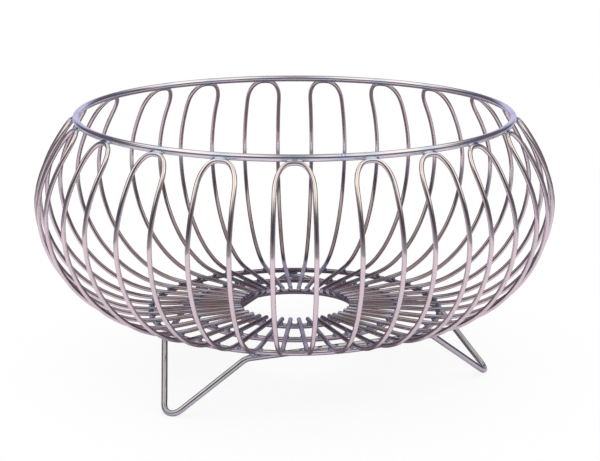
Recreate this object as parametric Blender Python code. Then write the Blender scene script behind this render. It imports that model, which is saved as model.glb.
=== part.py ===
"""Round fruit and vegetable basket, welded from lengths of bright plated round wire.

Metres, +Z up. The origin is on the table, under the middle of the basket. The front is towards -Y.
Every piece is its own object: the rim ring, the hairpin loops that make the wall and the floor,
the rings under the floor, and the stand with its three feet.
"""
import math

import bmesh
import bpy
from mathutils import Vector

# Wires, by diameter
rim_wire = 0.0036
loop_wire = 0.0024
base_wire = 0.0028
stand_wire = 0.0032

# Gap left at each weld, so that two pieces never share a surface
weld_gap = 0.0003

# Rim: the ring's radius, and its height over the table, both to the middle of the wire
rim_radius = 0.1160
rim_height = 0.1403

# Hairpin loops: the widest part of the belly, and where the curve runs out into the floor,
# all to the middle of the wire and counted down from the rim
loop_count = 21
belly_radius = 0.1380
belly_drop = 0.0447
floor_radius = 0.0777
floor_drop = 0.1056
# A loop's round top: its height, down to where both legs are as far apart as their neighbours,
# and how round it is, where 1 is an ellipse and less is squarer
crown_drop = 0.0115
crown_power = 0.75
# How far under the rim's own middle the crown touches it
crown_weld_angle = math.radians(34)
# How quickly the leg straightens as it climbs from the belly to the rim
upper_bulge_power = 1.8
# The loops are set by hand: how far these stand from their even places, as shares of the pitch.
# Loops are counted from the one at the front, which is 0, towards +X.
loop_shift_shares = {
    1: 0.03,
    2: -0.06,
    3: -0.19,
    4: -0.10,
    8: 0.06,
    13: -0.15,
    16: -0.05,
    17: -0.16,
    18: -0.06,
}

# Rings under the floor, by the radius at which the legs lie on them.
# The outer one sits just outside the place where the legs start to climb.
outer_ring_margin = 0.0010
base_ring_radii = {
    "base_ring_outer": floor_radius + outer_ring_margin,
    "base_ring_middle": 0.0564,
    "base_ring_centre": 0.0330,
}
# How far each leg runs past the innermost ring
leg_overrun = 0.0030

# Stand: three V-shaped feet, joined under the outer ring by straight runs.
# The wire bends down at a shoulder just past the outer ring, and the foot stands out from there.
foot_count = 3
stand_turn = math.radians(-37.5)
shoulder_reach = 0.0025
shoulder_radius = base_ring_radii["base_ring_outer"] + shoulder_reach
shoulder_half_angle = math.radians(19.8)
shoulder_bend = 0.0070
foot_reach = 0.0231
foot_radius = shoulder_radius + foot_reach
foot_bend = 0.0066
# How much of the wire is flat where a foot rests on the table
foot_flat = 0.0003

# Fineness of the curves
crown_steps = 5
upper_steps = 4
lower_steps = 6
rim_segments = 3 * loop_count
base_segments = 2 * loop_count
wire_sides = 8
bevel_rounds = (wire_sides - 4) // 2
bend_steps = 5
# Edges bent by more than this stay sharp: those round the flats under the feet
sharp_edge_angle = math.radians(50)

# Angles are counted from the front, which is -Y, towards +X
loop_pitch = 2 * math.pi / loop_count
leg_half_angle = loop_pitch / 4


def place(radius, angle, height):
    """The point at this radius and height, turned by this angle from the front."""
    return Vector((radius * math.sin(angle), -radius * math.cos(angle), height))


def bright_plate(name, colour, roughness):
    """Polished plating over steel."""
    material = bpy.data.materials.new(name)
    material.use_nodes = True
    shader = material.node_tree.nodes["Principled BSDF"]
    shader.inputs["Base Color"].default_value = (*colour, 1.0)
    shader.inputs["Metallic"].default_value = 1.0
    shader.inputs["Roughness"].default_value = roughness
    return material


def clear_scene():
    for old in list(bpy.data.objects):
        bpy.data.objects.remove(old, do_unlink=True)


def make_collection(name):
    collection = bpy.data.collections.new(name)
    bpy.context.scene.collection.children.link(collection)
    return collection


def keep_in(collection, piece):
    """Moves the piece out of every other collection and into this one."""
    for other in list(piece.users_collection):
        other.objects.unlink(piece)
    collection.objects.link(piece)


def wire_ring(name, radius, height, wire, segments, material, collection):
    """A closed ring of round wire, lying flat."""
    bpy.ops.mesh.primitive_torus_add(
        major_segments=segments,
        minor_segments=wire_sides,
        major_radius=radius,
        minor_radius=wire / 2,
        location=(0, 0, height),
        rotation=(0, 0, -math.pi / 2),
    )
    ring = bpy.context.object
    ring.name = name
    ring.data.name = name
    ring.data.shade_smooth()
    ring.data.materials.append(material)
    keep_in(collection, ring)
    return ring


def bent_wire(name, points, wire, closed, material, collection):
    """A length of round wire bent through these points."""
    curve = bpy.data.curves.new(name, "CURVE")
    curve.dimensions = "3D"
    curve.bevel_depth = wire / 2
    curve.bevel_resolution = bevel_rounds
    curve.use_fill_caps = not closed
    run = curve.splines.new("POLY")
    run.points.add(len(points) - 1)
    for spot, point in zip(run.points, points):
        spot.co = (*point, 1.0)
    run.use_cyclic_u = closed
    run.use_smooth = True
    curve.materials.append(material)
    piece = bpy.data.objects.new(name, curve)
    collection.objects.link(piece)
    return piece


# The leg of a loop, seen from the side: radius and height of the middle of its wire
crown_reach = rim_wire / 2 + weld_gap + loop_wire / 2
crown_radius = rim_radius + crown_reach * math.cos(crown_weld_angle)
crown_height = rim_height - crown_reach * math.sin(crown_weld_angle)
belly_height = rim_height - belly_drop
floor_height = rim_height - floor_drop


def upper_point(climbed):
    """Point of the leg between the belly, where nothing is climbed, and the crown, where all is."""
    radius = belly_radius - (belly_radius - crown_radius) * climbed**upper_bulge_power
    height = belly_height + (crown_height - belly_height) * climbed
    return radius, height


def lower_point(turn):
    """Point of the leg between the belly, at no turn, and the floor, at a quarter turn."""
    radius = floor_radius + (belly_radius - floor_radius) * math.cos(turn)
    height = belly_height - (belly_height - floor_height) * math.sin(turn)
    return radius, height


def seat_under(radius):
    """Point of the leg at this radius, on its lower half, and the way straight out from it."""
    across = belly_radius - floor_radius
    down = belly_height - floor_height
    turn = math.acos(max(0, radius - floor_radius) / across)
    height = belly_height - down * math.sin(turn)
    outward = Vector((down * math.cos(turn), -across * math.sin(turn))).normalized()
    return Vector((radius, height)), outward


def leg_outline():
    """Radius, height and share of the leg's full angle, from just past the crown to the inner end."""
    outline = []
    crown_part = crown_drop / (crown_height - belly_height)
    for step in range(1, crown_steps + 1):
        turn = math.pi / 2 * step / crown_steps
        radius, height = upper_point(1 - crown_part * (1 - math.cos(turn)))
        outline.append((radius, height, math.sin(turn) ** crown_power))
    for step in range(1, upper_steps + 1):
        radius, height = upper_point((1 - crown_part) * (upper_steps - step) / upper_steps)
        outline.append((radius, height, 1))
    for step in range(1, lower_steps + 1):
        radius, height = lower_point(math.pi / 2 * step / lower_steps)
        outline.append((radius, height, 1))
    inner_end = min(base_ring_radii.values()) - leg_overrun
    outline.append((inner_end, floor_height, 1))
    return outline


def loop_points(middle):
    """The whole hairpin: up one leg, over the crown and down the other."""
    outline = leg_outline()
    left = [place(r, middle - share * leg_half_angle, z) for r, z, share in reversed(outline)]
    right = [place(r, middle + share * leg_half_angle, z) for r, z, share in outline]
    return [*left, place(crown_radius, middle, crown_height), *right]


def make_rim(collection):
    plate = bright_plate("rim_plate", (0.80, 0.80, 0.84), 0.12)
    wire_ring("rim_ring", rim_radius, rim_height, rim_wire, rim_segments, plate, collection)


def make_loops(collection):
    for index in range(loop_count):
        name = f"wire_loop_{index + 1:02d}"
        plate = bright_plate(f"loop_plate_{index + 1:02d}", (0.78, 0.77, 0.80), 0.14)
        middle = (index + loop_shift_shares.get(index, 0)) * loop_pitch
        bent_wire(name, loop_points(middle), loop_wire, False, plate, collection)


def ring_seat(contact_radius):
    """Radius and height of a floor ring whose wire the legs lie on at this radius."""
    contact, outward = seat_under(contact_radius)
    return contact + outward * (loop_wire / 2 + weld_gap + base_wire / 2)


def make_base_rings(collection):
    for name, contact_radius in base_ring_radii.items():
        plate = bright_plate(name + "_plate", (0.74, 0.73, 0.76), 0.16)
        radius, height = ring_seat(contact_radius)
        wire_ring(name, radius, height, base_wire, base_segments, plate, collection)


def rounded_corner(before, corner, after, bend):
    """Points of the arc of this radius that replaces a sharp corner."""
    arriving = (corner - before).normalized()
    leaving = (after - corner).normalized()
    turn = arriving.angle(leaving)
    start = corner - arriving * bend * math.tan(turn / 2)
    inward = (leaving - arriving).normalized()
    centre = corner + inward * bend / math.cos(turn / 2)
    spoke = start - centre
    axis = arriving.cross(leaving).normalized()
    arc = []
    for step in range(bend_steps + 1):
        part = turn * step / bend_steps
        arc.append(centre + spoke * math.cos(part) + axis.cross(spoke) * math.sin(part))
    return arc


def foot_corner(middle, shoulder_height):
    """Where the two straight sides of a foot would meet, if its bend were sharp."""
    half_width = shoulder_radius * math.sin(shoulder_half_angle)
    top = place(shoulder_radius * math.cos(shoulder_half_angle), middle, shoulder_height)
    lowest = place(foot_radius, middle, stand_wire / 2 - foot_flat)
    down = (lowest - top).normalized()
    to_centre = (lowest - top).length - foot_bend
    slant = math.hypot(half_width, to_centre)
    half_angle = math.atan2(half_width, to_centre) - math.asin(foot_bend / slant)
    return top + down * half_width / math.tan(half_angle)


def stand_points():
    """The stand's wire, once round: each foot is a shoulder, a corner and a shoulder."""
    outer_height = ring_seat(max(base_ring_radii.values())).y
    shoulder_height = outer_height - base_wire / 2 - weld_gap - stand_wire / 2
    corners = []
    for index in range(foot_count):
        middle = stand_turn + index * 2 * math.pi / foot_count
        first = place(shoulder_radius, middle - shoulder_half_angle, shoulder_height)
        last = place(shoulder_radius, middle + shoulder_half_angle, shoulder_height)
        corners.append((first, shoulder_bend))
        corners.append((foot_corner(middle, shoulder_height), foot_bend))
        corners.append((last, shoulder_bend))
    points = []
    for index, (corner, bend) in enumerate(corners):
        before = corners[index - 1][0]
        after = corners[(index + 1) % len(corners)][0]
        points.extend(rounded_corner(before, corner, after, bend))
    return points


def make_stand(collection):
    plate = bright_plate("stand_plate", (0.70, 0.70, 0.72), 0.13)
    curve = bent_wire("stand_wire_curve", stand_points(), stand_wire, True, plate, collection)
    bpy.context.view_layer.update()
    graph = bpy.context.evaluated_depsgraph_get()
    mesh = bpy.data.meshes.new_from_object(curve.evaluated_get(graph))
    mesh.name = "wire_stand"
    mesh.transform(curve.matrix_world)
    bpy.data.objects.remove(curve, do_unlink=True)

    # The wire is flat where it rests: what would reach below the table is cut off and closed
    shape = bmesh.new()
    shape.from_mesh(mesh)
    everything = shape.verts[:] + shape.edges[:] + shape.faces[:]
    bmesh.ops.bisect_plane(
        shape, geom=everything, plane_co=(0, 0, 0), plane_no=(0, 0, -1), clear_outer=True
    )
    rims = [edge for edge in shape.edges if edge.is_boundary]
    bmesh.ops.holes_fill(shape, edges=rims, sides=0)
    shape.to_mesh(mesh)
    shape.free()
    mesh.shade_smooth()
    mesh.set_sharp_from_angle(angle=sharp_edge_angle)
    stand = bpy.data.objects.new("wire_stand", mesh)
    collection.objects.link(stand)


clear_scene()
basket = make_collection("fruit_basket")
make_rim(basket)
make_loops(basket)
make_base_rings(basket)
make_stand(basket)
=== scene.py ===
import math

import bmesh
import bpy
import numpy as np
from mathutils import Matrix, Vector


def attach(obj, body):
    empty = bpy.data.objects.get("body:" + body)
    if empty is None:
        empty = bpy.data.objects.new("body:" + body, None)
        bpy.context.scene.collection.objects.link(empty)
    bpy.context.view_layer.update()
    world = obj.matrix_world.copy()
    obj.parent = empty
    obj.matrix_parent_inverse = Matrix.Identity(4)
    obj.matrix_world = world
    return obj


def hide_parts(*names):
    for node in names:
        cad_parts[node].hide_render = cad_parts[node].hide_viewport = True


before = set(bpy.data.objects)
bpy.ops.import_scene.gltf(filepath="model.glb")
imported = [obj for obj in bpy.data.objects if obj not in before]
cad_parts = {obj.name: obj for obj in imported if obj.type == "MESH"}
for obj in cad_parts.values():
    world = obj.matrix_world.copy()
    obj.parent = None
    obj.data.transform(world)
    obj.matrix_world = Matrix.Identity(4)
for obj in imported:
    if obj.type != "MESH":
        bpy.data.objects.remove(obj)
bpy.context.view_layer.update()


# Rim ring: the thickest wire of the basket, 3.6 mm of drawn steel, rolled into a ring and
# butt-welded a little to the right of the front. The weld is ground back to the wire, the whole
# basket is polished and then plated with nickel and chrome.
rim_radius = 0.1160
rim_height = 0.1403
rim_wire = 0.0036
rim_segments = 240
rim_sides = 24
rim_colour = (0.86, 0.88, 0.925)
rim_roughness = 0.07
rim_burn_reach = 0.0052
butt_angle = math.radians(11.1)
butt_cuts = 7
groove_depth = 0.00013
groove_near_side = 0.0005
groove_far_side = 0.0009


def place(radius, angle, height):
    """The point at this radius and height, turned by this angle from the front."""
    return Vector((radius * math.sin(angle), -radius * math.cos(angle), height))


bpy.ops.object.select_all(action="DESELECT")
bpy.ops.mesh.primitive_torus_add(
    major_segments=rim_segments,
    minor_segments=rim_sides,
    major_radius=rim_radius,
    minor_radius=rim_wire / 2,
    location=(0, 0, rim_height),
    rotation=(0, 0, butt_angle - math.pi / 2),
)
rim = bpy.context.object
rim.name = "rim_wire"
bpy.ops.object.transform_apply(location=True, rotation=True)

# The butt weld: the segment on each side of it is cut finer, and two thin grooves are ground
butt_spot = place(rim_radius, butt_angle, rim_height)
along_wire = butt_spot.cross(Vector((0, 0, 1))).normalized()
segment_length = 2 * math.pi * rim_radius / rim_segments
butt_reach = 2 * segment_length
bpy.ops.object.mode_set(mode="EDIT")
bpy.ops.mesh.select_all(action="DESELECT")
shape = bmesh.from_edit_mesh(rim.data)
for edge in shape.edges:
    first, second = (along_wire.dot(vert.co) for vert in edge.verts)
    near = all((vert.co - butt_spot).length < butt_reach for vert in edge.verts)
    edge.select = near and abs(first - second) > segment_length / 2
bmesh.update_edit_mesh(rim.data)
bpy.ops.mesh.subdivide(number_cuts=butt_cuts)
bpy.ops.mesh.select_all(action="DESELECT")
shape = bmesh.from_edit_mesh(rim.data)
for vert in shape.verts:
    near = (vert.co - butt_spot).length < butt_reach
    from_weld = abs(along_wire.dot(vert.co - butt_spot))
    vert.select = near and groove_near_side < from_weld < groove_far_side
shape.select_flush_mode()
bmesh.update_edit_mesh(rim.data)
bpy.ops.transform.shrink_fatten(value=-groove_depth)
bpy.ops.object.mode_set(mode="OBJECT")
bpy.ops.object.shade_smooth()

# The rim is burnt where the loops are welded to it, so their angles are needed here already. The
# loops were set by hand: these, counted from 0 in front, stand off by a share of their pitch.
loop_count = 21
loop_pitch = 2 * math.pi / loop_count
loop_shift_shares = {
    1: 0.03,
    2: -0.06,
    3: -0.19,
    4: -0.10,
    8: 0.06,
    13: -0.15,
    16: -0.05,
    17: -0.16,
    18: -0.06,
}
loop_angles = [
    (index + loop_shift_shares.get(index, 0)) * loop_pitch for index in range(loop_count)
]
weld_gap = 0.0003
crown_weld_angle = math.radians(34)

# A crown weld lies between the rim's wire and the loop's, outside and a little under the middle
rim_weld_reach = rim_wire / 2 + weld_gap / 2
rim_weld_radius = rim_radius + rim_weld_reach * math.cos(crown_weld_angle)
rim_weld_height = rim_height - rim_weld_reach * math.sin(crown_weld_angle)
rim_welds = [place(rim_weld_radius, angle, rim_weld_height) for angle in loop_angles]

# Painted shade inside the bowl, low down: the plating is painted darker below this height,
# darkest a fade lower, and darker the more a side faces the middle of the bowl
bowl_middle = (0, 0, 0.11)
painted_shade_below = 0.10
painted_shade_fade = 0.05
painted_shade_side_on = 0.35
painted_shade_facing_gain = 1.2


def mark_surface(piece, welds=(), burn_reach=0.0, painted_shade_share=1.0):
    """Stores where each point of a wire faces, how near a weld it is and its painted shade."""
    mesh = piece.data
    count = len(mesh.vertices)
    spots = np.zeros(count * 3)
    mesh.vertices.foreach_get("co", spots)
    spots = spots.reshape(-1, 3)
    facings = np.zeros(count * 3)
    mesh.vertices.foreach_get("normal", facings)
    nearness = np.zeros(count)
    for weld in welds:
        away = np.linalg.norm(spots - np.array(weld), axis=1)
        nearness = np.maximum(nearness, np.exp(-((away / burn_reach) ** 2)))
    into_bowl = np.array(bowl_middle) - spots
    into_bowl /= np.linalg.norm(into_bowl, axis=1)[:, None]
    facing_in = np.sum(into_bowl * facings.reshape(-1, 3), axis=1)
    low = np.clip((painted_shade_below - spots[:, 2]) / painted_shade_fade, 0, 1)
    # Painted shade: darker on the low sides that face into the bowl
    painted_shade = np.clip(facing_in * painted_shade_facing_gain + painted_shade_side_on, 0, 1) * low * painted_shade_share
    painted_shade_mark = mesh.attributes.new("painted_shade", "FLOAT", "POINT")
    painted_shade_mark.data.foreach_set("value", painted_shade)
    facing = mesh.attributes.new("facing", "FLOAT_VECTOR", "POINT")
    facing.data.foreach_set("vector", facings)
    weld_mark = mesh.attributes.new("weld", "FLOAT", "POINT")
    weld_mark.data.foreach_set("value", nearness)


# Marks of the plating: how finely the draw lines repeat in a metre of wire and in a radian round
# it, and how finely the haze and the grain, with its coarsest specks, repeat in a metre
lines_along_scale = 12.0
lines_round_scale = 9.0
lines_detail = 3.0
haze_scale = 55.0
grain_scale = 900.0
fine_detail = 2.0
speck_levels = (0.66, 0.74)

# What each mark takes from the tint, adds to the roughness and gives to the relief
line_tint_levels = (0.35, 0.7)
line_tint = 0.3
haze_tint_levels = (0.45, 0.8)
haze_tint = 0.4
haze_roughness_levels = (0.4, 0.8)
haze_roughness = 0.04
line_roughness = 0.02
speck_roughness = 0.06
weld_roughness = 0.12
line_relief = 0.3
grain_relief = 0.1
weld_relief = 0.5
relief_strength = 0.10
relief_depth = 0.00005

# What is left of the plating's red, green and blue under the haze, under the painted shade low
# inside the bowl, and where the heat of a weld has burnt it
hazy_shares = (0.86, 0.86, 0.86)
painted_shade_colour_shares = (0.25, 0.20, 0.225)
burnt_shares = (0.58, 0.72, 0.92)
most_painted_shade = 0.90
most_burnt = 0.80


class Tone:
    """A value in a shader tree: sums and products add Math nodes, and node() adds any other."""

    def __init__(self, tree, socket=None):
        self.tree = tree
        self.socket = socket

    def node(self, kind, settings=None, sockets=None, output=0):
        """A node of this type, with these settings and these values or links of its sockets."""
        made = self.tree.nodes.new(kind)
        for name, value in (settings or {}).items():
            setattr(made, name, value)
        for name, value in (sockets or {}).items():
            if isinstance(value, Tone):
                self.tree.links.new(value.socket, made.inputs[name])
            else:
                made.inputs[name].default_value = value
        return Tone(self.tree, made.outputs[output] if made.outputs else None)

    def math(self, operation, *values):
        return self.node("ShaderNodeMath", {"operation": operation}, dict(enumerate(values)))

    def __add__(self, other):
        return self.math("ADD", self, other)

    def __radd__(self, other):
        return self.math("ADD", other, self)

    def __sub__(self, other):
        return self.math("SUBTRACT", self, other)

    def __rsub__(self, other):
        return self.math("SUBTRACT", other, self)

    def __mul__(self, other):
        return self.math("MULTIPLY", self, other)

    def __rmul__(self, other):
        return self.math("MULTIPLY", other, self)

    def between(self, low, high):
        """0 below low, 1 above high and a smooth rise between them."""
        return self.node(
            "ShaderNodeMapRange",
            {"interpolation_type": "SMOOTHSTEP"},
            {"Value": self, "From Min": low, "From Max": high},
        )

    def blend(self, first, second):
        """The first colour where this is 0, the second where it is 1."""
        return self.node(
            "ShaderNodeMix",
            {"data_type": "RGBA"},
            {"Factor": self, 6: first, 7: second},
            output=2,
        )

    def scaled(self, scale):
        """This vector made longer or shorter."""
        return self.node(
            "ShaderNodeVectorMath", {"operation": "SCALE"}, {0: self, "Scale": scale}
        )

    def noise(self, scale, detail):
        """Soft noise from 0 to 1 over this place."""
        return self.node(
            "ShaderNodeTexNoise", sockets={"Vector": self, "Scale": scale, "Detail": detail}
        )


def plated(name, colour, roughness):
    """Bright plating over drawn wire: draw lines, haze, specks, painted shade and burnt welds."""
    material = bpy.data.materials.new(name)
    material.use_nodes = True
    shader = material.node_tree.nodes["Principled BSDF"]
    shader.inputs["Metallic"].default_value = 1.0
    start = Tone(material.node_tree)
    where = start.node("ShaderNodeTexCoord", output="Object")
    facing = start.node("ShaderNodeAttribute", {"attribute_name": "facing"}, output="Vector")
    weld = start.node("ShaderNodeAttribute", {"attribute_name": "weld"}, output="Fac")
    painted_shade = start.node("ShaderNodeAttribute", {"attribute_name": "painted_shade"}, output="Fac")

    # Draw lines run along the wire, because the way a point faces changes fastest round it
    line_place = start.node(
        "ShaderNodeVectorMath",
        {"operation": "ADD"},
        {0: where.scaled(lines_along_scale), 1: facing.scaled(lines_round_scale)},
    )
    lines = line_place.noise(1.0, lines_detail)
    haze = where.noise(haze_scale, fine_detail)
    grain = where.noise(grain_scale, fine_detail)
    specks = grain.between(*speck_levels)

    def darkened(shares):
        return (*(channel * share for channel, share in zip(colour, shares)), 1.0)

    hazy = (
        lines.between(*line_tint_levels) * line_tint + haze.between(*haze_tint_levels) * haze_tint
    )
    tint = hazy.blend((*colour, 1.0), darkened(hazy_shares))
    # Painted shade: the plating is painted darker low inside the bowl
    tint = (painted_shade * most_painted_shade).blend(tint, darkened(painted_shade_colour_shares))
    tint = (weld * most_burnt).blend(tint, darkened(burnt_shares))
    rough = (
        roughness
        + haze.between(*haze_roughness_levels) * haze_roughness
        + lines * line_roughness
        + specks * speck_roughness
        + weld * weld_roughness
    )
    relief = lines * line_relief + grain * grain_relief + weld * grain * weld_relief
    bump = start.node(
        "ShaderNodeBump",
        sockets={"Strength": relief_strength, "Distance": relief_depth, "Height": relief},
    )
    links = material.node_tree.links
    links.new(tint.socket, shader.inputs["Base Color"])
    links.new(rough.socket, shader.inputs["Roughness"])
    links.new(bump.socket, shader.inputs["Normal"])
    return material


def hand_over(piece, material, slot, *nodes):
    """Gives a finished piece its material, puts it under the root and hides what it replaces."""
    piece.data.materials.clear()
    piece.data.materials.append(material)
    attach(piece, "root")
    if nodes:
        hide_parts(*nodes)


mark_surface(rim, [*rim_welds, butt_spot], rim_burn_reach)
rim_plate = plated("rim_plate", rim_colour, rim_roughness)
hand_over(rim, rim_plate, "rim_plate", "rim_ring")


# Hairpin loops: 21 equal lengths of 2.4 mm wire, each bent into a narrow upside-down U in a jig.
# The round top is spot-welded to the outside of the rim. Both legs bulge out to the belly,
# curve in below it and run on side by side as the spokes of the floor, where they are cut off.
loop_wire = 0.0024
belly_radius = 0.1380
rim_to_belly = 0.0447
belly_height = rim_height - rim_to_belly
floor_radius = 0.0777
rim_to_floor = 0.1056
floor_height = rim_height - rim_to_floor
leg_end_radius = 0.0300
leg_half_angle = loop_pitch / 4
crown_reach = rim_wire / 2 + weld_gap + loop_wire / 2
crown_radius = rim_radius + crown_reach * math.cos(crown_weld_angle)
crown_height = rim_height - crown_reach * math.sin(crown_weld_angle)
crown_drop = 0.0115
crown_power = 0.75
upper_bulge_power = 1.8
crown_steps = 7
upper_steps = 5
lower_steps = 8
floor_steps = 3
curve_steps = 6
wire_rounds = 6
end_rounding = 0.0004
end_rounding_steps = 3
merge_distance = 0.000001
smooth_angle = math.radians(40)
loop_colour = (0.88, 0.84, 0.83)
loop_roughness = 0.09
loop_burn_reach = 0.0034


def upper_point(climbed):
    """Radius and height at this share of the climb from the belly to the crown."""
    radius = belly_radius - (belly_radius - crown_radius) * climbed**upper_bulge_power
    return radius, belly_height + (crown_height - belly_height) * climbed


def lower_point(turn):
    """Radius and height after this turn of the quarter curve from the belly to the floor."""
    radius = floor_radius + (belly_radius - floor_radius) * math.cos(turn)
    return radius, belly_height - (belly_height - floor_height) * math.sin(turn)


def leg_outline():
    """Radius, height and share of the leg's full angle, from below the crown to the inner end."""
    outline = []
    crown_part = crown_drop / (crown_height - belly_height)
    for step in range(1, crown_steps + 1):
        turn = math.pi / 2 * step / crown_steps
        climbed = 1 - crown_part * (1 - math.cos(turn))
        outline.append((*upper_point(climbed), math.sin(turn) ** crown_power))
    for step in range(1, upper_steps + 1):
        outline.append((*upper_point((1 - crown_part) * (upper_steps - step) / upper_steps), 1))
    for step in range(1, lower_steps + 1):
        outline.append((*lower_point(math.pi / 2 * step / lower_steps), 1))
    for step in range(1, floor_steps + 1):
        radius = floor_radius + (leg_end_radius - floor_radius) * step / floor_steps
        outline.append((radius, floor_height, 1))
    return outline


def draw_wire(name, points, wire, closed):
    """A length of round wire: a smooth curve drawn through these points, then made a mesh."""
    bpy.ops.object.select_all(action="DESELECT")
    bpy.ops.curve.primitive_bezier_curve_add(location=(0, 0, 0))
    wire_curve = bpy.context.object
    bpy.ops.object.mode_set(mode="EDIT")
    bpy.ops.curve.select_all(action="SELECT")
    bpy.ops.curve.delete(type="VERT")
    for point in points:
        bpy.ops.curve.vertex_add(location=point)
    bpy.ops.curve.select_all(action="SELECT")
    if closed:
        bpy.ops.curve.cyclic_toggle()
    bpy.ops.curve.handle_type_set(type="AUTOMATIC")
    bpy.ops.object.mode_set(mode="OBJECT")
    wire_curve.data.bevel_depth = wire / 2
    wire_curve.data.bevel_resolution = wire_rounds
    wire_curve.data.resolution_u = curve_steps
    wire_curve.data.use_fill_caps = not closed
    bpy.ops.object.convert(target="MESH")
    piece = bpy.context.object
    piece.name = name
    return piece


outline = leg_outline()
left = [place(r, -share * leg_half_angle, z) for r, z, share in reversed(outline)]
right = [place(r, share * leg_half_angle, z) for r, z, share in outline]
crown = place(crown_radius, 0, crown_height)
first_loop = draw_wire("loop_wire", [*left, crown, *right], loop_wire, closed=False)

# The cut ends, the only faces with many corners, are tumbled round before the wires are welded
bpy.ops.object.mode_set(mode="EDIT")
bpy.ops.mesh.select_all(action="DESELECT")
shape = bmesh.from_edit_mesh(first_loop.data)
bmesh.ops.remove_doubles(shape, verts=shape.verts[:], dist=merge_distance)
for face in shape.faces:
    face.select = len(face.verts) > 4
shape.select_flush_mode()
bmesh.update_edit_mesh(first_loop.data)
bpy.ops.mesh.bevel(offset=end_rounding, segments=end_rounding_steps, affect="EDGES")
bpy.ops.mesh.select_all(action="SELECT")
bpy.ops.mesh.normals_make_consistent(inside=False)
bpy.ops.object.mode_set(mode="OBJECT")
bpy.ops.object.shade_smooth_by_angle(angle=smooth_angle)

# The legs are burnt where they cross the floor rings, so the rings' places are needed here
base_wire = 0.0028
base_rings = {
    "base_ring_outer": 0.07875,
    "base_ring_middle": 0.0564,
    "base_ring_centre": 0.0330,
}
base_height = floor_height - loop_wire / 2 - weld_gap - base_wire / 2
floor_weld_height = floor_height - loop_wire / 2 - weld_gap / 2
loop_welds = [place(rim_weld_radius, 0, rim_weld_height)]
for radius in base_rings.values():
    loop_welds.append(place(radius, leg_half_angle, floor_weld_height))
    loop_welds.append(place(radius, -leg_half_angle, floor_weld_height))
mark_surface(first_loop, loop_welds, loop_burn_reach)
loop_plate = plated("loop_plate", loop_colour, loop_roughness)

for index, angle in enumerate(loop_angles):
    bpy.ops.object.select_all(action="DESELECT")
    loop = first_loop.copy()
    loop.data = first_loop.data.copy()
    loop.name = f"loop_wire_{index + 1:02d}"
    bpy.context.scene.collection.objects.link(loop)
    loop.rotation_euler.z = angle
    bpy.context.view_layer.objects.active = loop
    loop.select_set(True)
    bpy.ops.object.transform_apply(rotation=True)
    hand_over(loop, loop_plate, "loop_plate", f"wire_loop_{index + 1:02d}")
bpy.data.objects.remove(first_loop, do_unlink=True)


# Crown welds: where each loop's top meets the rim, the two wires are melted together under
# pressure. What is squeezed out stands as a small smooth bead along the joint, plated over.
crown_bead_sizes = (0.0045, 0.0013, 0.0011)
bead_segments = 12
bead_rings = 8
bead_unevenness = 0.00008
bead_uniformity = 0.4
bead_colour = (0.58, 0.66, 0.78)
bead_roughness = 0.14


def weld_bead(name, half_sizes, centre, turn, seed):
    """A small round bead, stretched along the joint and a little uneven."""
    bpy.ops.object.select_all(action="DESELECT")
    bpy.ops.mesh.primitive_uv_sphere_add(
        segments=bead_segments, ring_count=bead_rings, radius=1
    )
    bead = bpy.context.object
    bead.name = name
    bpy.ops.object.mode_set(mode="EDIT")
    bpy.ops.mesh.select_all(action="SELECT")
    bpy.ops.transform.resize(value=half_sizes)
    bpy.ops.transform.vertex_random(offset=bead_unevenness, uniform=bead_uniformity, seed=seed)
    bpy.ops.object.mode_set(mode="OBJECT")
    bead.matrix_world = Matrix.Translation(centre) @ turn
    bpy.ops.object.transform_apply(location=True, rotation=True)
    bpy.ops.object.shade_smooth()
    return bead


def join_beads(beads, name, material, slot):
    """Makes one piece of the beads of like joints. Their material is that of burnt plating."""
    bpy.ops.object.select_all(action="DESELECT")
    for bead in beads:
        bead.select_set(True)
    bpy.context.view_layer.objects.active = beads[0]
    bpy.ops.object.join()
    joined = bpy.context.object
    joined.name = name
    mark_surface(joined)
    hand_over(joined, material, slot)


crown_beads = []
for index, angle in enumerate(loop_angles):
    turn = Matrix.Rotation(angle, 4, "Z") @ Matrix.Rotation(crown_weld_angle, 4, "X")
    centre = place(rim_weld_radius, angle, rim_weld_height)
    crown_beads.append(weld_bead("crown_bead", crown_bead_sizes, centre, turn, index))
bead_plate = plated("bead_plate", bead_colour, bead_roughness)
join_beads(crown_beads, "crown_welds", bead_plate, "rim_plate")


# Floor rings: three rings of 2.8 mm wire under the floor. Every leg lies across them and is
# spot-welded at each crossing. The outer one is where the legs start to climb, and it also
# carries the stand.
base_segments = 168
base_sides = 20
base_colour = (0.76, 0.75, 0.79)
base_roughness = 0.12
base_burn_reach = 0.0022
floor_bead_sizes = (0.0014, 0.0016, 0.0006)
floor_bead_seeds = {"base_ring_outer": 100, "base_ring_middle": 200, "base_ring_centre": 300}
base_plate = plated("base_plate", base_colour, base_roughness)
for node, radius in base_rings.items():
    bpy.ops.object.select_all(action="DESELECT")
    bpy.ops.mesh.primitive_torus_add(
        major_segments=base_segments,
        minor_segments=base_sides,
        major_radius=radius,
        minor_radius=base_wire / 2,
        location=(0, 0, base_height),
    )
    ring = bpy.context.object
    ring.name = node.replace("base_ring", "floor_ring")
    bpy.ops.object.transform_apply(location=True)
    bpy.ops.object.shade_smooth()
    crossings = [
        place(radius, angle + side * leg_half_angle, floor_weld_height)
        for angle in loop_angles
        for side in (-1, 1)
    ]
    mark_surface(ring, crossings, base_burn_reach)
    hand_over(ring, base_plate, "base_plate", node)
    beads = []
    for index, spot in enumerate(crossings):
        heading = Matrix.Rotation(math.atan2(spot.x, -spot.y), 4, "Z")
        seed = floor_bead_seeds[node] + index
        beads.append(weld_bead("floor_bead", floor_bead_sizes, spot, heading, seed))
    join_beads(beads, ring.name + "_welds", bead_plate, "base_plate")


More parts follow.
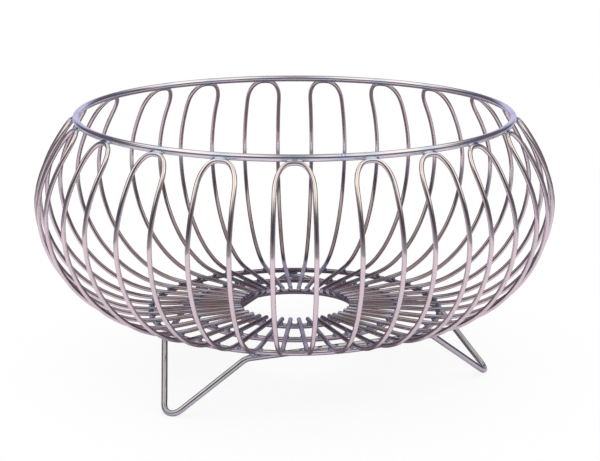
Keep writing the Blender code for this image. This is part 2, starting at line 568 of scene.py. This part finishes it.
# Stand: one length of 3.2 mm wire, bent cold into three V-shaped feet that lean outwards, with
# straight runs between them that are welded under the outer floor ring. Where a foot rests on the
# table, the plating is worn to a small dull flat.
stand_wire = 0.0032
foot_count = 3
stand_turn = math.radians(-37.5)
foot_angles = [stand_turn + index * 2 * math.pi / foot_count for index in range(foot_count)]
shoulder_radius = 0.0812
shoulder_half_angle = math.radians(19.8)
shoulder_bend = 0.0070
foot_radius = 0.1043
foot_bend = 0.0066
foot_flat = 0.0003
bend_steps = 5
straight_shares = (0.08, 0.5, 0.92)
stand_height = base_height - base_wire / 2 - weld_gap - stand_wire / 2
stand_colour = (0.645, 0.685, 0.70)
stand_roughness = 0.12
stand_burn_reach = 0.0030
# How much of the painted shade low inside the bowl the stand gets
stand_painted_shade_share = 0.4
stand_bead_sizes = (0.0024, 0.0017, 0.0008)
stand_bead_seed = 500


def rounded_corner(before, corner, after, bend):
    """Points of the arc of this radius that replaces a sharp corner."""
    arriving = (corner - before).normalized()
    leaving = (after - corner).normalized()
    turn = arriving.angle(leaving)
    start = corner - arriving * bend * math.tan(turn / 2)
    centre = corner + (leaving - arriving).normalized() * bend / math.cos(turn / 2)
    spoke = start - centre
    axis = arriving.cross(leaving).normalized()
    parts = [turn * step / bend_steps for step in range(bend_steps + 1)]
    return [
        centre + spoke * math.cos(part) + axis.cross(spoke) * math.sin(part) for part in parts
    ]


def foot_corner(middle):
    """Where the two straight sides of a foot would meet, if its bend were sharp."""
    half_width = shoulder_radius * math.sin(shoulder_half_angle)
    top = place(shoulder_radius * math.cos(shoulder_half_angle), middle, stand_height)
    lowest = place(foot_radius, middle, stand_wire / 2 - foot_flat)
    down = (lowest - top).normalized()
    to_centre = (lowest - top).length - foot_bend
    slant = math.hypot(half_width, to_centre)
    half_angle = math.atan2(half_width, to_centre) - math.asin(foot_bend / slant)
    return top + down * half_width / math.tan(half_angle)


corners = []
for middle in foot_angles:
    first = place(shoulder_radius, middle - shoulder_half_angle, stand_height)
    last = place(shoulder_radius, middle + shoulder_half_angle, stand_height)
    corners += [(first, shoulder_bend), (foot_corner(middle), foot_bend), (last, shoulder_bend)]
arcs = []
for index, (corner, bend) in enumerate(corners):
    before = corners[index - 1][0]
    after = corners[(index + 1) % len(corners)][0]
    arcs.append(rounded_corner(before, corner, after, bend))
stand_line = []
for arc, next_arc in zip(arcs, arcs[1:] + arcs[:1]):
    straight = next_arc[0] - arc[-1]
    stand_line += [*arc, *(arc[-1] + straight * share for share in straight_shares)]
stand = draw_wire("stand_wire", stand_line, stand_wire, closed=True)

# The feet are cut flat at the height of the table
bpy.ops.object.mode_set(mode="EDIT")
bpy.ops.mesh.select_all(action="SELECT")
bpy.ops.mesh.remove_doubles(threshold=merge_distance)
bpy.ops.mesh.bisect(
    plane_co=(0, 0, 0),
    plane_no=(0, 0, -1),
    use_fill=True,
    clear_outer=True,
    threshold=merge_distance,
)
bpy.ops.mesh.select_all(action="SELECT")
bpy.ops.mesh.normals_make_consistent(inside=False)
bpy.ops.object.mode_set(mode="OBJECT")
bpy.ops.object.shade_smooth_by_angle(angle=smooth_angle)

# Each straight run crosses under the outer ring twice, close to its shoulders
outer_ring_radius = base_rings["base_ring_outer"]
run_distance = shoulder_radius * math.cos(math.pi / foot_count - shoulder_half_angle)
crossing_half_angle = math.acos(run_distance / outer_ring_radius)
stand_weld_height = stand_height + stand_wire / 2 + weld_gap / 2
crossing_angles = [
    middle + math.pi / foot_count + side * crossing_half_angle
    for middle in foot_angles
    for side in (-1, 1)
]
stand_welds = [place(outer_ring_radius, angle, stand_weld_height) for angle in crossing_angles]
foot_tips = [place(foot_radius, middle, 0) for middle in foot_angles]
mark_surface(stand, [*stand_welds, *foot_tips], stand_burn_reach, stand_painted_shade_share)
stand_plate = plated("stand_plate", stand_colour, stand_roughness)
hand_over(stand, stand_plate, "stand_plate", "wire_stand")
stand_beads = []
for index, (spot, angle) in enumerate(zip(stand_welds, crossing_angles)):
    heading = Matrix.Rotation(angle, 4, "Z")
    seed = stand_bead_seed + index
    stand_beads.append(weld_bead("stand_bead", stand_bead_sizes, spot, heading, seed))
join_beads(stand_beads, "stand_welds", bead_plate, "stand_plate")


# The floor: a wide sheet of matt white paper, which keeps the soft shadow of the basket. In
# reflections alone it shows a painted reflection of a studio: pale lilac round the front of the
# basket, darker farther out and bluer at the back, with painted shade under and just behind it.
sheet_radius = 6.0
sheet_corners = 96
paper_white = (0.95, 0.95, 0.95, 1)
paper_roughness = 0.9
near_painted_sheen = (0.72, 0.61, 0.695, 1)
far_painted_sheen = (0.28, 0.245, 0.295, 1)
back_painted_sheen = (0.54, 0.51, 0.68, 1)
shade_sheen = (0.20, 0.15, 0.18, 1)
painted_sheen_middle = (0, -0.20, 0)
painted_sheen_edge = (0.34, 0.64)
back_edge = (0.40, 0.52)
shade_middle = (0, 0.25, 0)
shade_edge = (0.23, 0.28)
under_edge = (0.072, 0.094)
white_edge = (0.20, 0.60)
white_near_basket = 0.82

bpy.ops.object.select_all(action="DESELECT")
bpy.ops.mesh.primitive_circle_add(
    vertices=sheet_corners, radius=sheet_radius, fill_type="NGON", location=(0, 0, 0)
)
floor = bpy.context.object
floor.name = "studio_floor"
floor_paper = bpy.data.materials.new("floor_paper")
floor_paper.use_nodes = True
paper = floor_paper.node_tree.nodes["Principled BSDF"]
paper.inputs["Roughness"].default_value = paper_roughness
start = Tone(floor_paper.node_tree)
spot = start.node("ShaderNodeTexCoord", output="Object")
spot_depth = start.node("ShaderNodeSeparateXYZ", sockets={0: spot}, output="Y")
from_basket, from_painted_sheen, from_shade = (
    start.node(
        "ShaderNodeVectorMath", {"operation": "DISTANCE"}, {0: spot, 1: middle}, output="Value"
    )
    for middle in ((0, 0, 0), painted_sheen_middle, shade_middle)
)
# Painted reflection: the paper's colours in reflections alone, lilac near, darker far, bluer
# behind
painted_sheen = from_painted_sheen.between(*painted_sheen_edge).blend(near_painted_sheen, far_painted_sheen)
painted_sheen = spot_depth.between(*back_edge).blend(painted_sheen, back_painted_sheen)
# Painted shade under the basket and just behind it, in reflections alone
outside_shade = from_shade.between(*shade_edge) * from_basket.between(*under_edge)
painted_sheen = outside_shade.blend(shade_sheen, painted_sheen)
# Reflections see the painted sheen, all other light the paper's plain white
in_mirror = start.node("ShaderNodeLightPath", output="Is Glossy Ray")
paper_white_and_painted_sheen = in_mirror.blend(paper_white, painted_sheen)
floor_paper.node_tree.links.new(paper_white_and_painted_sheen.socket, paper.inputs["Base Color"])

# To the camera it is mostly plain white near the basket, so that the shadow stays light, and all
# white farther out, where the sheet runs into the white of the room
white = start.node("ShaderNodeEmission", sockets={"Color": (1, 1, 1, 1), "Strength": 1.0})
whiteness = from_basket.between(*white_edge) * (1 - white_near_basket) + white_near_basket
to_camera = start.node("ShaderNodeLightPath", output="Is Camera Ray") * whiteness
lit = Tone(floor_paper.node_tree, paper.outputs["BSDF"])
seen = start.node("ShaderNodeMixShader", sockets={0: to_camera, 1: lit, 2: white})
floor_paper.node_tree.links.new(
    seen.socket, floor_paper.node_tree.nodes["Material Output"].inputs["Surface"]
)
floor.data.materials.append(floor_paper)


# The room: white to the camera. The plating mirrors a dim studio, darkest in front, where the
# camera stands, with a paler band low down there, soft boxes beside the camera that reach lower
# towards the sides, a bright warm ceiling, dimmer in its middle, and a lilac wall behind.
front_wall = (0.060, 0.052, 0.072, 1)
side_walls = (0.12, 0.10, 0.117, 1)
low_band = (0.25, 0.22, 0.25, 1)
back_wall = (0.62, 0.58, 0.78, 1)
soft_light = (1.18, 1.09, 1.00, 1)
daylight = (0.98, 0.98, 0.98, 1)
plain_white = (1, 1, 1, 1)

# Between which bearings or heights each of these fades. A bearing is in radians, either way from
# the front. A height is 0 when level and 1 right overhead, and a width is 0 in the middle.
front_wall_end = (0.35, 0.75)
low_band_end = (0.90, 1.40)
low_band_top = (0.0, 0.26)
boxes_end = (1.45, 1.80)
boxes_foot = 0.42
boxes_foot_drop = 0.20
boxes_foot_turn = (1.10, 1.60)
boxes_fade = 0.22
back_wall_start = (2.50, 2.85)
back_wall_top = (0.30, 0.45)
ceiling_foot = (0.54, 0.79)
ceiling_dim_width = (0.04, 0.24)
ceiling_dim_share = 0.40
ceiling_overhead = (0.86, 0.98)
ceiling_overhead_share = 0.5

world = bpy.data.worlds.new("studio")
bpy.context.scene.world = world
world.use_nodes = True
world.node_tree.nodes.clear()
start = Tone(world.node_tree)
direction = start.node("ShaderNodeTexCoord", output="Generated")
side, depth, up = (
    start.node("ShaderNodeSeparateXYZ", sockets={0: direction}, output=axis) for axis in "XYZ"
)
bearing = start.math("ABSOLUTE", start.math("ARCTAN2", side, 0 - depth))
off_front = bearing.between(*front_wall_end)
walls = off_front.blend(front_wall, side_walls)
low_down = (1 - up.between(*low_band_top)) * (1 - bearing.between(*low_band_end))
walls = low_down.blend(walls, low_band)
behind = bearing.between(*back_wall_start) * (1 - up.between(*back_wall_top))
walls = behind.blend(walls, back_wall)
beside = off_front * (1 - bearing.between(*boxes_end))
box_foot = boxes_foot - bearing.between(*boxes_foot_turn) * boxes_foot_drop
soft_boxes = beside * up.between(box_foot, box_foot + boxes_fade)
off_middle = start.math("ABSOLUTE", side).between(*ceiling_dim_width)
ceiling = up.between(*ceiling_foot)
ceiling = ceiling * (ceiling_dim_share + off_middle * (1 - ceiling_dim_share))
ceiling = ceiling * (1 - up.between(*ceiling_overhead) * (1 - ceiling_overhead_share))
room = start.math("MAXIMUM", soft_boxes, ceiling).blend(walls, soft_light)
in_mirror = start.node("ShaderNodeLightPath", output="Is Glossy Ray")
to_camera = start.node("ShaderNodeLightPath", output="Is Camera Ray")
seen = to_camera.blend(in_mirror.blend(daylight, room), plain_white)
background = start.node("ShaderNodeBackground", sockets={"Color": seen, "Strength": 1.0})
start.node("ShaderNodeOutputWorld", sockets={"Surface": background})


# The lamp: one wide soft box overhead, which throws the shadow on the floor. The plating doesn't
# mirror it, because the room's ceiling stands in its place there.
lamp = bpy.data.lights.new("overhead_lamp", "AREA")
lamp.shape = "RECTANGLE"
lamp.size = 1.2
lamp.size_y = 0.8
lamp.energy = 3.0
lamp_stand = bpy.data.objects.new("overhead_lamp", lamp)
lamp_stand.location = (-0.2, -0.1, 1.3)
lamp_stand.visible_glossy = False
bpy.context.scene.collection.objects.link(lamp_stand)


# The camera: it stands in front with a long lens, a little above the rim and looking down on it,
# as the photograph was taken.
camera_distance = 0.9435
camera_elevation = math.radians(10.396)
camera_pitch = math.radians(14.192)
camera_yaw = math.radians(0.178)
camera = bpy.data.cameras.new("camera")
camera.sensor_fit = "HORIZONTAL"
camera.sensor_width = 36
camera.lens = 105.78
camera_stand = bpy.data.objects.new("camera", camera)
bpy.context.scene.collection.objects.link(camera_stand)
camera_stand.location = (
    0,
    -camera_distance * math.cos(camera_elevation),
    rim_height + camera_distance * math.sin(camera_elevation),
)
camera_stand.rotation_euler = (math.pi / 2 - camera_pitch, 0, -camera_yaw)
bpy.context.scene.camera = camera_stand
bpy.context.scene.view_settings.view_transform = "Standard"
